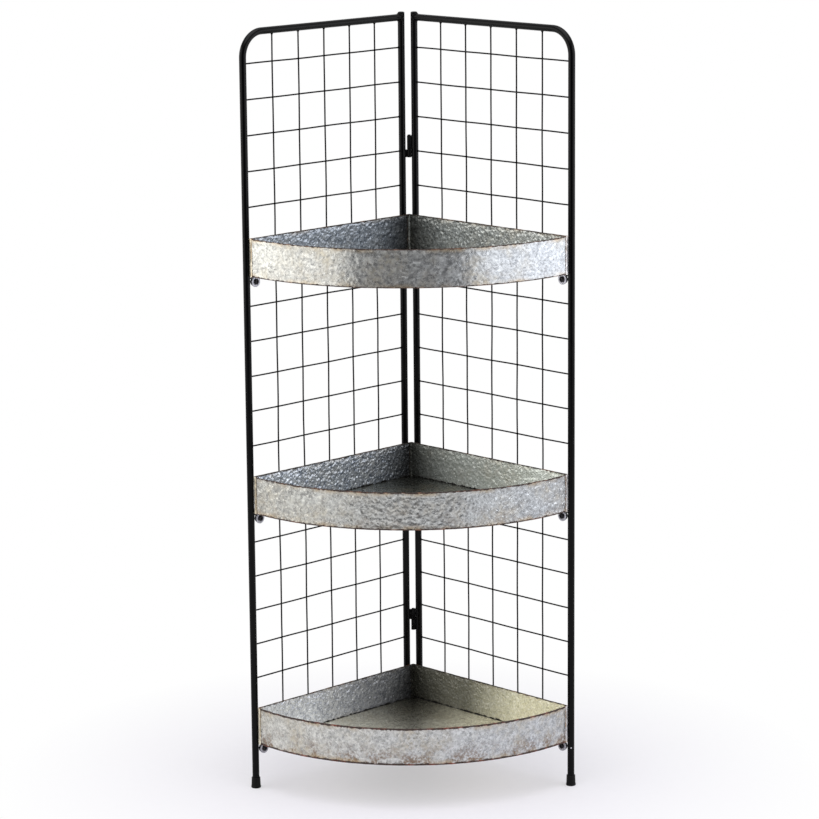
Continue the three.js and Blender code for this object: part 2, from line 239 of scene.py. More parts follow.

# Dark and pale zinc, and the tints at the left and right of the two sheets that share them (partly
# painted reflection)
DULL_FLOOR = ((84, 85, 82), (160, 161, 156))
TAB_ZINC = (((208, 200, 180), (250, 246, 234)), ((196, 191, 188), (242, 239, 237)))
ZINC = {
    "bottom": (((160, 160, 160), (220, 220, 219)), ((178, 180, 188), (254, 254, 255)),
               ((226, 225, 208), (255, 255, 249)), ((208, 203, 188), (255, 253, 240)), *TAB_ZINC),
    "middle": (((150, 150, 150), (216, 217, 216)), ((142, 151, 165), (250, 253, 255)),
               ((226, 228, 222), (255, 255, 255)), DULL_FLOOR, *TAB_ZINC),
    "top": (((153, 154, 155), (216, 217, 216)), ((124, 133, 145), (216, 222, 229)),
            ((148, 152, 151), (232, 236, 234)), DULL_FLOOR, *TAB_ZINC),
}
INNER_TINTS = {"bottom": ((250, 252, 250), (255, 252, 234)),
               "middle": ((246, 254, 255), (250, 255, 249)),
               "top": ((248, 253, 255), (253, 253, 252))}

# Painted shade towards the back corner: millimetres from the corner at which it starts and is
# full, and how strong it is
NO_SHADE, FAINT_SHADE = (360.0, 70.0, 0.0), (360.0, 70.0, 0.3)
INNER_SHADES = {"bottom": ((270.0, 110.0, 0.58), (285.0, 145.0, 0.8), (275.0, 95.0, 0.8)),
                "middle": ((360.0, 70.0, 0.4), (330.0, 90.0, 0.55), (360.0, 70.0, 0.5)),
                "top": (FAINT_SHADE, FAINT_SHADE, FAINT_SHADE)}

# Softboxes: place, size, power and colour
LIGHT_TARGET = (0, 0, 0.8)
SOFTBOXES = {
    "left_softbox": ((-2.35, -0.8, 1.4), (3.6, 2.2), 44, (1.0, 0.985, 0.955)),
    "right_softbox": ((2.35, -0.8, 1.4), (3.6, 2.2), 46, (0.96, 0.975, 1.0)),
    "top_softbox": ((0, -0.6, 3.2), (2.4, 2.4), 40, (1.0, 1.0, 1.0)),
}
FILL = 0.48
FLOOR_HALF = 3.0
FLOOR_FADE = (0.25, 0.78, 0.4, 1.0)  # where white starts and is full, and its share at both


# Forms

class Shape:
    """Corners and faces gathered from several forms, in one local frame."""

    def __init__(self):
        self.points = []
        self.faces = []

    def loft(self, rings, loop=False):
        """Skins a row of rings, each counterclockwise when seen from further along the row."""
        first = len(self.points)
        count = len(rings[0])
        for ring in rings:
            self.points.extend(tuple(point) for point in ring)
        for step in range(len(rings) if loop else len(rings) - 1):
            here = first + step * count
            ahead = first + (step + 1) % len(rings) * count
            for k in range(count):
                after = (k + 1) % count
                self.faces.append((here + k, here + after, ahead + after, ahead + k))
        if not loop:
            last = first + (len(rings) - 1) * count
            self.faces.append(tuple(reversed(range(first, first + count))))
            self.faces.append(tuple(range(last, last + count)))
        return self


def circle(sides):
    turn = np.arange(sides) / sides * 2 * math.pi
    return np.cos(turn)[:, None], np.sin(turn)[:, None]


def tube(path, radii, side, sides, loop=False):
    """Rings round a path. The side direction is square to the whole path, or nearly so."""
    path = [np.array(point, float) for point in path]
    side = np.array(side, float)
    radii = np.broadcast_to(radii, len(path))
    across, along = circle(sides)
    rings = []
    for k, (point, radius) in enumerate(zip(path, radii)):
        if loop:
            ahead = path[(k + 1) % len(path)] - path[k - 1]
        else:
            ahead = path[min(k + 1, len(path) - 1)] - path[max(k - 1, 0)]
        tangent = ahead / np.linalg.norm(ahead)
        u = np.cross(side, tangent)
        u /= np.linalg.norm(u)
        v = np.cross(tangent, u)
        rings.append(point + radius * (across * u + along * v))
    return rings


def turned(profile, sides):
    """Rings of a piece turned about Z, in the order of its profile."""
    across, along = circle(sides)
    return [np.hstack([radius * across, radius * along, np.full_like(across, height)])
            for radius, height in profile]


def rounded(profile, radius, steps=4):
    """A profile with its corners drawn as small curves."""
    corners = [np.array(point, float) for point in profile]
    line = [corners[0]]
    for before, corner, after in zip(corners, corners[1:], corners[2:]):
        back, on = before - corner, after - corner
        reach = min(radius, np.linalg.norm(back) / 2, np.linalg.norm(on) / 2)
        start = corner + back / np.linalg.norm(back) * reach
        end = corner + on / np.linalg.norm(on) * reach
        for t in np.linspace(0, 1, steps + 1):
            line.append((1 - t) ** 2 * start + 2 * t * (1 - t) * corner + t ** 2 * end)
    line.append(corners[-1])
    return line


def round_piece(profile, radius, sides=SMALL_SIDES, loop=False):
    """A turned piece with rounded corners."""
    return Shape().loft(turned(rounded(profile, radius), sides), loop=loop)


def block(low, high, bevel):
    """Rings of an upright block with rounded upright edges and softened ends."""
    (x0, y0, z0), (x1, y1, z1) = low, high
    rings = []
    for inset, z in ((bevel, z0), (0, z0 + bevel), (0, z1 - bevel), (bevel, z1)):
        corners = []
        for cx, cy, start in ((x1, y0, -90), (x1, y1, 0), (x0, y1, 90), (x0, y0, 180)):
            mx = cx - math.copysign(bevel, cx - (x0 + x1) / 2)
            my = cy - math.copysign(bevel, cy - (y0 + y1) / 2)
            for k in range(4):
                angle = math.radians(start + 30 * k)
                reach = bevel - inset * 0.7
                corners.append((mx + reach * math.cos(angle), my + reach * math.sin(angle), z))
        rings.append(corners)
    return rings


def wave(place, lengths, seed):
    """A smooth uneven wave along a line, between -1 and 1."""
    phases = np.random.RandomState(seed).rand(len(lengths)) * 2 * math.pi
    waves = [np.sin(place / length * 2 * math.pi + phase)
             for length, phase in zip(lengths, phases)]
    return sum(waves) / len(lengths)


def hammered(along, up, size, seed):
    """How deep blows have dented a sheet at each place: 1 in the middle of a blow, 0 between."""
    jitter = np.random.RandomState(seed).rand(BLOW_PERIOD, BLOW_PERIOD, 2)
    x, y = along / size, up / size
    nearest = np.full(np.broadcast(x, y).shape, math.inf)
    for dx in (-1, 0, 1):
        for dy in (-1, 0, 1):
            cx, cy = np.floor(x).astype(int) + dx, np.floor(y).astype(int) + dy
            blow = jitter[cx % BLOW_PERIOD, cy % BLOW_PERIOD]
            nearest = np.minimum(nearest, np.hypot(x - cx - blow[..., 0], y - cy - blow[..., 1]))
    return np.clip(1 - (nearest / BLOW_REACH) ** 2, 0, 1)


# Materials

def srgb(*levels):
    """A colour as a picture shows it, 0 to 255, in the linear numbers that a shader takes."""
    shares = [level / 255 for level in levels]
    return [s / 12.92 if s <= 0.04045 else ((s + 0.055) / 1.055) ** 2.4 for s in shares] + [1]


class Nodes:
    """Short calls that build a node tree."""

    def __init__(self, tree):
        self.tree = tree

    def feed(self, socket, value):
        if isinstance(value, bpy.types.NodeSocket):
            self.tree.links.new(value, socket)
        else:
            socket.default_value = value

    def node(self, kind, inputs=None, **settings):
        node = self.tree.nodes.new(kind)
        for key, value in settings.items():
            setattr(node, key, value)
        for key, value in (inputs or {}).items():
            self.feed(node.inputs[key], value)
        return node

    def share(self, value, start, end, low=0.0, high=1.0):
        """A value's place between two others, as a share that stops at both ends."""
        inputs = {"Value": value, "From Min": start, "From Max": end,
                  "To Min": low, "To Max": high}
        return self.node("ShaderNodeMapRange", inputs).outputs["Result"]

    def math(self, operation, first, second):
        return self.node("ShaderNodeMath", {0: first, 1: second}, operation=operation).outputs[0]

    def times(self, first, second):
        return self.math("MULTIPLY", first, second)

    def between(self, share, first, second):
        return self.node("ShaderNodeMix", {0: share, 2: first, 3: second}).outputs[0]


class Finish(Nodes):
    """A material and the calls that its looks are built with."""

    def __init__(self, name):
        self.material = bpy.data.materials.new(name)
        self.material.use_nodes = True
        super().__init__(self.material.node_tree)
        self.shader = self.tree.nodes["Principled BSDF"]
        self.place = self.node("ShaderNodeTexCoord").outputs["Object"]

    def set(self, **inputs):
        for key, value in inputs.items():
            self.feed(self.shader.inputs[key.replace("_", " ")], value)

    def noise(self, scale, detail=3, roughness=0.5):
        inputs = {"Vector": self.place, "Scale": scale, "Detail": detail, "Roughness": roughness}
        return self.node("ShaderNodeTexNoise", inputs).outputs["Fac"]

    def cells(self, scale):
        inputs = {"Vector": self.place, "Scale": scale}
        return self.node("ShaderNodeTexVoronoi", inputs, feature="F1").outputs["Color"]

    def mix(self, share, first, second, blend="MIX"):
        node = self.node("ShaderNodeMix", {0: share, 6: first, 7: second}, data_type="RGBA",
                         blend_type=blend)
        return node.outputs[2]

    def attribute(self, name):
        return self.node("ShaderNodeAttribute", attribute_name=name).outputs["Fac"]

    def axis(self, letter):
        return self.node("ShaderNodeSeparateXYZ", {"Vector": self.place}).outputs[letter]

    def bump(self, height, distance, strength, under=None):
        inputs = {"Height": height, "Distance": distance, "Strength": strength}
        if under is not None:
            inputs["Normal"] = under
        return self.node("ShaderNodeBump", inputs).outputs["Normal"]


def coated_steel(name, colour, shine, gloss):
    """Powder coating: fine orange peel, a little dust and slightly uneven gloss."""
    finish = Finish(name)
    peel = finish.noise(900, detail=2)
    cloud = finish.noise(35, detail=5)
    dust = finish.share(finish.noise(160, detail=6, roughness=0.7), 0.58, 0.85)
    dusty = [level * 4 for level in colour[:3]] + [1]
    finish.set(Base_Color=finish.mix(dust, colour, dusty),
               Roughness=finish.share(cloud, 0.3, 0.7, shine, shine + 0.1),
               Normal=finish.bump(peel, 0.012 * MM, 0.4))
    finish.shader.inputs["Specular IOR Level"].default_value = gloss
    return finish.material


def moulded_rubber():
    """Dull rubber: a fine moulded grain and pale scuffs."""
    finish = Finish("black_rubber")
    grain = finish.noise(1300, detail=3)
    scuffs = finish.share(finish.noise(240, detail=6, roughness=0.75), 0.52, 0.75)
    finish.set(Base_Color=finish.mix(scuffs, srgb(9, 8, 9), srgb(24, 23, 24)),
               Roughness=finish.share(scuffs, 0, 1, 0.55, 0.75),
               Normal=finish.bump(grain, 0.08 * MM, 0.8))
    finish.shader.inputs["Specular IOR Level"].default_value = 0.15
    return finish.material


def plated_steel(name, dark, pale, roughness):
    """Small plated hardware: turning marks, clouded plating and dull spots."""
    finish = Finish(name)
    clouds = finish.noise(300, detail=5, roughness=0.6)
    marks = finish.noise(2600, detail=1)
    finish.set(Base_Color=finish.mix(finish.share(clouds, 0.35, 0.65), dark, pale),
               Metallic=0.85,
               Roughness=finish.share(clouds, 0.3, 0.7, roughness, roughness + 0.2),
               Normal=finish.bump(marks, 0.02 * MM, 0.6))
    return finish.material


class Galvanised(Finish):
    """Hammered galvanised steel: zinc spangle, patches of patina, rusty edges, dirty seams and
    painted shade.
    """

    def __init__(self, name, zinc, tints, rust, relief, metal, patina, shade, grime=0.0, base=0.0):
        super().__init__(name)
        self.mottle = self.noise(95, detail=4, roughness=0.65)
        self.ragged = self.noise(120, detail=6, roughness=0.7)
        colour = self.zinc(*(srgb(*level) for level in zinc + tints))
        colour = self.stained(colour, patina)
        colour = self.grimy(colour, grime, base)
        colour, rusted = self.rusty(colour, *rust)
        colour, dirty = self.dirty(colour, *shade)
        worn = self.math("MAXIMUM", rusted, dirty)
        grain = self.bump(self.noise(1100, detail=3), 0.05 * MM, 0.6)
        polish = self.share(self.mottle, 0.3, 0.7, 0.2, 0.36)
        self.set(Base_Color=colour,
                 Metallic=self.share(worn, 0, 1, metal, 0.1),
                 Roughness=self.math("ADD", polish, self.times(worn, 0.35)),
                 Normal=self.bump(self.curls(), relief * MM, 1.0, under=grain))

    def curls(self):
        """Small pressed curls between the hammer blows."""
        inputs = {"Vector": self.place, "Scale": 110.0, "Detail": 2.0}
        bend = self.node("ShaderNodeTexNoise", inputs).outputs["Color"]
        bent = self.node("ShaderNodeVectorMath", {0: bend, 1: (0.006, 0.006, 0.006)},
                         operation="MULTIPLY").outputs[0]
        place = self.node("ShaderNodeVectorMath", {0: self.place, 1: bent}, operation="ADD")
        inputs = {"Vector": place.outputs[0], "Scale": 190.0}
        return self.node("ShaderNodeTexVoronoi", inputs, feature="SMOOTH_F1").outputs["Distance"]

    def zinc(self, dark, pale, left, right):
        """Crystals of zinc, each lighter or darker, tinted from the left side to the right; the
        tint is partly the zinc's own tone and partly painted reflection of coloured light.
        """
        crystals = self.mix(0.5, self.cells(210), self.cells(340))
        crystals = self.node("ShaderNodeRGBToBW", {"Color": crystals}).outputs["Val"]
        tone = self.math("ADD", self.times(crystals, 0.75),
                         self.times(self.mottle, 0.75))
        colour = self.mix(self.share(tone, 0.5, 1.0), dark, pale)
        across = self.share(self.axis("X"), -0.26, 0.26)
        return self.mix(1.0, colour, self.mix(across, left, right), blend="MULTIPLY")

    def stained(self, colour, patina):
        """Cloudy tan patches and small brown specks."""
        patches = self.share(self.noise(15, detail=6, roughness=0.62), 0.46, 0.7)
        clouds = self.times(patches, self.share(self.mottle, 0.34, 0.62))
        colour = self.mix(self.times(clouds, patina), colour, srgb(*TAN))
        specks = self.times(self.share(self.noise(330, detail=2), 0.67, 0.74),
                           self.share(self.noise(24, detail=3), 0.42, 0.62))
        return self.mix(self.times(specks, patina), colour, srgb(*SPECK))

    def grimy(self, colour, grime, base):
        """Brown blotches low on the sheet, whose tray stands at the base height."""
        rise = self.math("SUBTRACT", self.axis("Z"), base)
        low = self.share(rise, 42 * MM, 4 * MM)
        blotches = self.share(self.noise(34, detail=6, roughness=0.65), 0.46, 0.56)
        broken = self.share(self.noise(260, detail=3), 0.38, 0.56)
        amount = self.times(self.times(low, blotches), broken)
        return self.mix(self.times(amount, grime), colour, srgb(*BROWN))

    def rusty(self, colour, reach, dark, bright, stains):
        """Rust that creeps in from the raw edges, with tan stains further in."""
        creep = self.math("SUBTRACT", self.times(self.ragged, 8.0), 4.0 + reach)
        creep = self.math("ADD", self.attribute("edge_mm"), creep)
        places = self.share(self.noise(26, detail=4), 0.46, 0.62, 0.1 * stains, stains)
        stain = self.times(self.share(creep, 8.0, 0.5), places)
        colour = self.mix(stain, colour, srgb(*STAIN))
        tone = self.share(self.noise(60, detail=5, roughness=0.7), 0.5, 0.66)
        rust = self.share(creep, 1.0, 0.0)
        return self.mix(rust, colour, self.mix(tone, srgb(*dark), srgb(*bright))), rust

    def dirty(self, colour, far, near, most):
        """Dirt in ragged lines along the seams, and a painted shade that deepens towards the
        corner.
        """
        lines = self.times(self.math("SUBTRACT", self.noise(130, detail=4), 0.5), 9.0)
        seam = self.share(self.math("ADD", self.attribute("seam_mm"), lines), 2.3, 1.3)
        smudge = self.times(self.math("SUBTRACT", self.ragged, 0.5), 60.0)
        corner = self.math("ADD", self.attribute("corner_mm"), smudge)
        # Painted shade: the colour darkens towards the back corner, and darkest right in it
        colour = self.mix(self.share(corner, far, near, 0.0, most), colour, srgb(*SHADE))
        colour = self.mix(self.share(corner, 100.0, 5.0, 0.0, 0.9), colour, srgb(*DEEP_SHADE))
        return self.mix(seam, colour, srgb(*SEAM_DIRT)), seam


def make_finishes():
    return {
        "black_frame": coated_steel("black_frame", srgb(2, 2, 3), 0.16, 0.12),
        "black_wire": coated_steel("black_wire", srgb(2, 2, 3), 0.4, 0.07),
        "black_rubber": moulded_rubber(),
        "zinc_ring": plated_steel("zinc_ring", srgb(150, 150, 158), srgb(204, 203, 212), 0.25),
        "black_screw": plated_steel("black_screw", srgb(22, 21, 23), srgb(52, 50, 54), 0.28),
    }


def sheet_finishes(tier):
    """The finishes of a tray's sheets and of the tabs at the ends of its side walls."""
    inner = INNER_TINTS[tier]
    tints = ((CREAM, LAVENDER), (BLUE, BLUE), inner, inner, (CREAM, CREAM), (LAVENDER, LAVENDER))
    rusts = (FRONT_RUST[tier], BACK_RUST, BACK_RUST, BACK_RUST, TAB_RUST, TAB_RUST)
    shades = (NO_SHADE, *INNER_SHADES[tier], NO_SHADE, NO_SHADE)
    looks = zip(ZINC[tier], tints, rusts, RELIEF[tier], METAL[tier], PATINA[tier], shades)
    grime = (FRONT_GRIME[tier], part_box(f"{tier}_tray_floor")[0].z)
    return {part: Galvanised(f"{tier}_{part}", *look, *(grime if part == "front_wall" else ()))
            .material for part, look in zip(SHEETS, looks)}


def add_object(name, data):
    thing = bpy.data.objects.new(name, data)
    bpy.context.collection.objects.link(thing)
    return thing


# Placing

def facing(x_axis, y_axis, z_axis, origin):
    matrix = Matrix.Identity(4)
    for column, axis in enumerate((x_axis, y_axis, z_axis, origin)):
        for row in range(3):
            matrix[row][column] = axis[row]
    return matrix


def middle(node):
    low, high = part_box(node)
    return (low + high) / 2


def add_piece(node, shape, matrix, body, slot, material, sharp=40, extra=None):
    """A detailed piece that stands for a CAD node, or for nothing where extra names it."""
    points = np.array(shape.points)
    turn = np.array(matrix)
    placed = points @ turn[:3, :3].T + turn[:3, 3]
    mirrored = matrix.determinant() < 0
    faces = [face[::-1] for face in shape.faces] if mirrored else shape.faces
    name = extra or f"{node}_detail"
    mesh = bpy.data.meshes.new(name)
    mesh.from_pydata(placed.tolist(), [], faces)
    mesh.shade_smooth()
    mesh.set_sharp_from_angle(angle=math.radians(sharp))
    mesh.materials.append(material)
    piece = add_object(name, mesh)
    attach(piece, body)
    if extra is None:
        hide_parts(node)
    return piece


def keep_values(piece, name, values):
    piece.data.attributes.new(name, "FLOAT", "POINT").data.foreach_set("value", values)


# Panels

class Panel:
    """The frame of one panel: x runs outwards from the back post, y inwards to the trays."""

    def __init__(self, side, finishes):
        self.side = side
        self.body = f"{side}_panel"
        self.finishes = finishes
        back, front = middle(f"{side}_back_post"), middle(f"{side}_front_foot")
        back.z = front.z = cad_low.z
        out = (front - back).normalized()
        across = Vector((-out.y, out.x, 0))
        inward = across if across.y < 0 else -across
        self.width = (front - back).length
        self.matrix = facing(out, inward, Vector((0, 0, 1)), back)
        self.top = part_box(f"{side}_post_cap")[1].z
        self.seed = PANEL_SEEDS[side]

    def add(self, part, shape, slot="black_frame", matrix=None, **options):
        where = self.matrix @ matrix if matrix else self.matrix
        add_piece(f"{self.side}_{part}", shape, where, self.body, slot, self.finishes[slot],
                  **options)


def saddle_weld(post_x, way, height):
    """The bead where a level tube meets an upright one. Way is the side of the post it is on."""
    bead = []
    turns = np.linspace(0, 2 * math.pi, SADDLE_STEPS, endpoint=False)
    for turn in turns:
        y, z = TUBE_RADIUS * math.cos(turn), TUBE_RADIUS * math.sin(turn)
        reach = math.sqrt(max(TUBE_RADIUS ** 2 - y ** 2, 0)) + SADDLE_LIFT
        bead.append((post_x + way * reach, y * SADDLE_SWELL, height + z * SADDLE_SWELL))
    ripple = 1 + SADDLE_RIPPLE * np.cos(turns * SADDLE_RIPPLES)
    return tube(bead, SADDLE_RADIUS * ripple, X_WAY, SADDLE_SIDES, loop=True)


def frame_tube(path):
    return Shape().loft(tube(path, TUBE_RADIUS, Y_WAY, TUBE_SIDES))


def bent_tube(panel):
    """Front post, rounded corner and top rail in one tube, welded to the back post."""
    rail = panel.top - RAIL_DROP
    bend_x = panel.width - CORNER_BEND
    path = [(panel.width, 0, z) for z in np.linspace(FOOT_SOLE, rail - CORNER_BEND, POST_STEPS)]
    for turn in np.linspace(0, math.pi / 2, BEND_STEPS)[1:]:
        x = panel.width - CORNER_BEND * (1 - math.cos(turn))
        path.append((x, 0, rail - CORNER_BEND * (1 - math.sin(turn))))
    path += [(x, 0, rail) for x in np.linspace(bend_x, TUBE_END, RAIL_STEPS)[1:]]
    return frame_tube(path).loft(saddle_weld(0, 1, rail), loop=True)


def low_rail(panel, height):
    places = np.linspace(TUBE_END, panel.width - TUBE_END, LOW_RAIL_STEPS)
    path = [(x, 0, height) for x in places]
    shape = frame_tube(path).loft(saddle_weld(0, 1, height), loop=True)
    return shape.loft(saddle_weld(panel.width, -1, height), loop=True)


def post(panel):
    top = panel.top - CAP_HEIGHT - JOIN_GAP
    profile = [(TUBE_MOUTH, FOOT_SOLE), (TUBE_RADIUS, FOOT_SOLE), (TUBE_RADIUS, top),
               (TUBE_MOUTH, top)]
    return round_piece(profile, 0.4 * MM, TUBE_SIDES)


def cap(panel):
    """A push-in cap with a stem, a shoulder and a softly domed crown."""
    seat = panel.top - CAP_HEIGHT
    profile = [(CORE, seat - CAP_STEM), (4.6 * MM, seat - CAP_STEM), (4.8 * MM, seat),
               (TUBE_RADIUS, seat), (TUBE_RADIUS, panel.top - 1.3 * MM),
               (TUBE_RADIUS * 0.6, panel.top - 0.25 * MM), (CORE, panel.top)]
    return round_piece(profile, 0.9 * MM, TUBE_SIDES)


def foot(height):
    """A flared rubber cup with a rounded tread and a thin lip round the tube."""
    inside = FOOT_SOLE - 0.5 * MM
    profile = [(CORE, 0), (FOOT_BOTTOM_RADIUS - 0.6 * MM, 0), (FOOT_BOTTOM_RADIUS, 0.9 * MM),
               (FOOT_BOTTOM_RADIUS, 3.4 * MM), (FOOT_BOTTOM_RADIUS - 0.5 * MM, 4.6 * MM),
               (FOOT_TOP_RADIUS, height - 2.2 * MM), (FOOT_TOP_RADIUS, height - 0.6 * MM),
               (TUBE_RADIUS + 0.9 * MM, height), (FOOT_GRIP, height - 0.4 * MM),
               (FOOT_GRIP, inside), (CORE, inside)]
    return round_piece(profile, 0.7 * MM, TUBE_SIDES)


def row_heights(panel, low):
    """Rows at an even pitch above each tray's rim, and at the same pitch down behind it."""
    rows = []
    below = low
    for tier, name in enumerate(TIERS):
        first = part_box(f"{name}_tray_left_wall")[1].z + FIRST_ROW_GAP
        last = tier + 1 == len(TIERS)
        ceiling = (panel.top - RAIL_DROP if last
                   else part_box(f"{TIERS[tier + 1]}_tray_left_wall")[0].z)
        hidden = first - ROW_PITCH
        while hidden > below + ROW_PITCH / 2:
            rows.append(hidden)
            hidden -= ROW_PITCH
        below = first
        while below + ROW_PITCH < ceiling - 2 * TUBE_RADIUS:
            rows.append(below)
            below += ROW_PITCH
        rows.append(below)
    return rows


def wire(start, end, sway, seed):
    """A drawn wire, a little out of true, with its ends flared into their welds."""
    start, end, sway = (np.array(point, float) for point in (start, end, sway))
    shares = np.linspace(0, 1, WIRE_STEPS)
    length = np.linalg.norm(end - start)
    bends = wave(shares * length, WIRE_WAVES, seed) * np.sin(shares * math.pi) ** 0.5
    path = [start + (end - start) * share + sway * bend for share, bend in zip(shares, bends)]
    tips = [tip / length for tip in WIRE_TIPS]
    path = [start + (end - start) * tip for tip in tips] + path[1:-1]
    path += [end - (end - start) * tip for tip in reversed(tips)]
    radii = WIRE_RADIUS * np.array([*WIRE_FLARES, *[1.0] * (WIRE_STEPS - 2), *WIRE_FLARES[::-1]])
    return tube(path, radii, Y_WAY, WIRE_SIDES)


def weld_spot(x, z, size):
    """The flattened drop of metal where two wires cross."""
    heights = np.array(SPOT_LEVELS) * SPOT_HALF
    widths = np.array(SPOT_WIDTHS) * size
    across, along = circle(SPOT_SIDES)
    return [np.hstack([x + width * along, np.full_like(across, height), z + width * across])
            for width, height in zip(widths, heights)]


def wire_grid(panel, low):
    """Columns on the side of the trays and rows on the outer side, welded where they cross."""
    rail = panel.top - RAIL_DROP
    first = (panel.width - (COLUMNS - 1) * COLUMN_PITCH) / 2
    columns = [first + k * COLUMN_PITCH for k in range(COLUMNS)]
    rows = row_heights(panel, low)
    shape = Shape()
    for k, x in enumerate(columns):
        ends = (x, WIRE_OFFSET, low + WIRE_END), (x, WIRE_OFFSET, rail - WIRE_END)
        shape.loft(wire(*ends, (COLUMN_SWAY, 0, 0), panel.seed + k))
    for k, z in enumerate(rows):
        ends = (WIRE_END, -WIRE_OFFSET, z), (panel.width - WIRE_END, -WIRE_OFFSET, z)
        shape.loft(wire(*ends, (0, 0, ROW_SWAY), panel.seed + 20 + k))
    sizes = np.random.RandomState(panel.seed).uniform(*SPOT_SIZES, (len(columns), len(rows))) * MM
    for k, x in enumerate(columns):
        for j, z in enumerate(rows):
            shape.loft(weld_spot(x, z, sizes[k, j]))
    return shape


def peg_boss():
    profile = [(CORE, BOSS_ROOT), (BOSS_RADIUS, BOSS_ROOT), (BOSS_RADIUS, TUBE_RADIUS),
               (SHANK_RADIUS + 0.2 * MM, TUBE_RADIUS)]
    return round_piece(profile, 0.7 * MM)


def peg_ring():
    """A thick washer, rounded at its rims and slightly hollow round the screw."""
    near, far = TUBE_RADIUS + JOIN_GAP, TUBE_RADIUS + JOIN_GAP + RING_THICKNESS
    bore = SHANK_RADIUS + 0.3 * MM
    profile = [(bore, (near + far) / 2), (bore, near), (RING_RADIUS, near), (RING_RADIUS, far),
               (HEAD_RADIUS + 1.4 * MM, far), (HEAD_RADIUS + 0.9 * MM, far - RING_HOLLOW),
               (bore, far - RING_HOLLOW)]
    return round_piece(profile, 0.8 * MM, loop=True)


def peg_screw():
    """A pan head with a six-sided socket, on its shank."""
    seat = TUBE_RADIUS + 2 * JOIN_GAP + RING_THICKNESS - HEAD_SINK
    top = seat + HEAD_HEIGHT + HEAD_SINK
    profile = [(CORE, SHANK_ROOT), (SHANK_RADIUS, SHANK_ROOT), (SHANK_RADIUS, seat),
               (HEAD_RADIUS, seat), (HEAD_RADIUS, top - 1.2 * MM),
               (HEAD_RADIUS * 0.8, top - 0.15 * MM), (SOCKET_RADIUS * 1.25, top)]
    rings = turned(rounded(profile, 0.7 * MM), SMALL_SIDES)
    turns = np.arange(SMALL_SIDES) / SMALL_SIDES * 2 * math.pi
    sixth = math.pi / 3
    hexagon = SOCKET_RADIUS * math.cos(sixth / 2) / np.cos(turns % sixth - sixth / 2)
    for depth in (0.0, SOCKET_DEPTH):
        rings.append(np.stack([hexagon * np.cos(turns), hexagon * np.sin(turns),
                               np.full(SMALL_SIDES, top - depth)], axis=1))
    return Shape().loft(rings)


def rear_ledge(start):
    """A plate beside the back post, bent in under the tray's corner, with an arm to the post."""
    end = start + LEDGE_WIDTH
    back = LEDGE_FACE + LEDGE_THICKNESS
    outer = rounded([(LEDGE_FACE, -LEDGE_HEIGHT), (LEDGE_FACE, 0), (LEDGE_REACH, 0)],
                    LEDGE_BEND, steps=6)
    inner = rounded([(back, -LEDGE_HEIGHT), (back, -LEDGE_THICKNESS),
                     (LEDGE_REACH, -LEDGE_THICKNESS)], LEDGE_BEND - LEDGE_THICKNESS, steps=6)
    section = inner + outer[::-1]
    centre = np.mean(section, axis=0)
    rings = []
    for x, shrink in ((start, LEDGE_SHRINK), (start + LEDGE_SOFT, 0), (end - LEDGE_SOFT, 0),
                      (end, LEDGE_SHRINK)):
        rings.append([(x, *(point + (centre - point) * shrink)) for point in section])
    shape = Shape().loft(rings)
    low = (TUBE_END, LEDGE_FACE, -LEDGE_HEIGHT)
    high = (start + ARM_LAP, back, -ARM_DROP)
    return shape.loft(block(low, high, BEVEL))


def rivet():
    """A small domed rivet, on the front of a post."""
    seat = TUBE_RADIUS - RIVET_SINK
    dome = [(RIVET_RADIUS * math.cos(turn), TUBE_RADIUS + RIVET_DOME * math.sin(turn))
            for turn in np.linspace(0, 1.4, 7)]
    return Shape().loft(turned([(0.2 * MM, seat), (RIVET_RADIUS, seat)] + dome, RIVET_SIDES))


def dress_panel(side, finishes):
    panel = Panel(side, finishes)
    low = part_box("bottom_tray_floor")[0].z + LOW_RAIL_RISE
    panel.add("outer_tube", bent_tube(panel))
    panel.add("back_post", post(panel))
    panel.add("post_cap", cap(panel))
    panel.add("low_rail", low_rail(panel, low))
    panel.add("wire_grid", wire_grid(panel, low), "black_wire", sharp=60)
    foot_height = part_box(f"{side}_back_foot")[1].z
    for name, x in (("back_foot", 0), ("front_foot", panel.width)):
        panel.add(name, foot(foot_height), "black_rubber", Matrix.Translation((x, 0, 0)))
    upright = facing(X_WAY, (0, 0, -1), Y_WAY, (0, 0, 0))
    for tier in TIERS:
        centre = middle(f"{side}_{tier}_peg_ring").z
        peg = Matrix.Translation((panel.width - PEG_INSET, 0, centre)) @ upright
        panel.add(f"{tier}_peg_boss", peg_boss(), matrix=peg)
        panel.add(f"{tier}_peg_ring", peg_ring(), "zinc_ring", peg)
        panel.add(f"{tier}_peg_screw", peg_screw(), "black_screw", peg)
        ledge = Matrix.Translation((0, 0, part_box(f"{side}_{tier}_rear_ledge")[1].z))
        panel.add(f"{tier}_rear_ledge", rear_ledge(LEDGE_STARTS[side]), matrix=ledge)
    if side == "right":
        place = panel.matrix @ Vector((panel.width, 0, RIVET_HEIGHT))
        forward = facing(X_WAY, (0, 0, 1), (0, -1, 0), place)
        add_piece(None, rivet(), forward, panel.body, "zinc_ring", finishes["zinc_ring"],
                  extra="right_post_rivet")
    return panel


# Hinges

def weld_run(x, y, radius, low, high):
    """An upright bead, rippled as a weld is."""
    heights = np.linspace(low, high, BEAD_STEPS)
    radii = radius * (1 - BEAD_RIPPLE * (1 - np.cos(np.arange(BEAD_STEPS) * BEAD_TURN)))
    radii[0] = radii[-1] = radius * BEAD_TIP
    return tube([(x, y, z) for z in heights], radii, X_WAY, BEAD_SIDES)


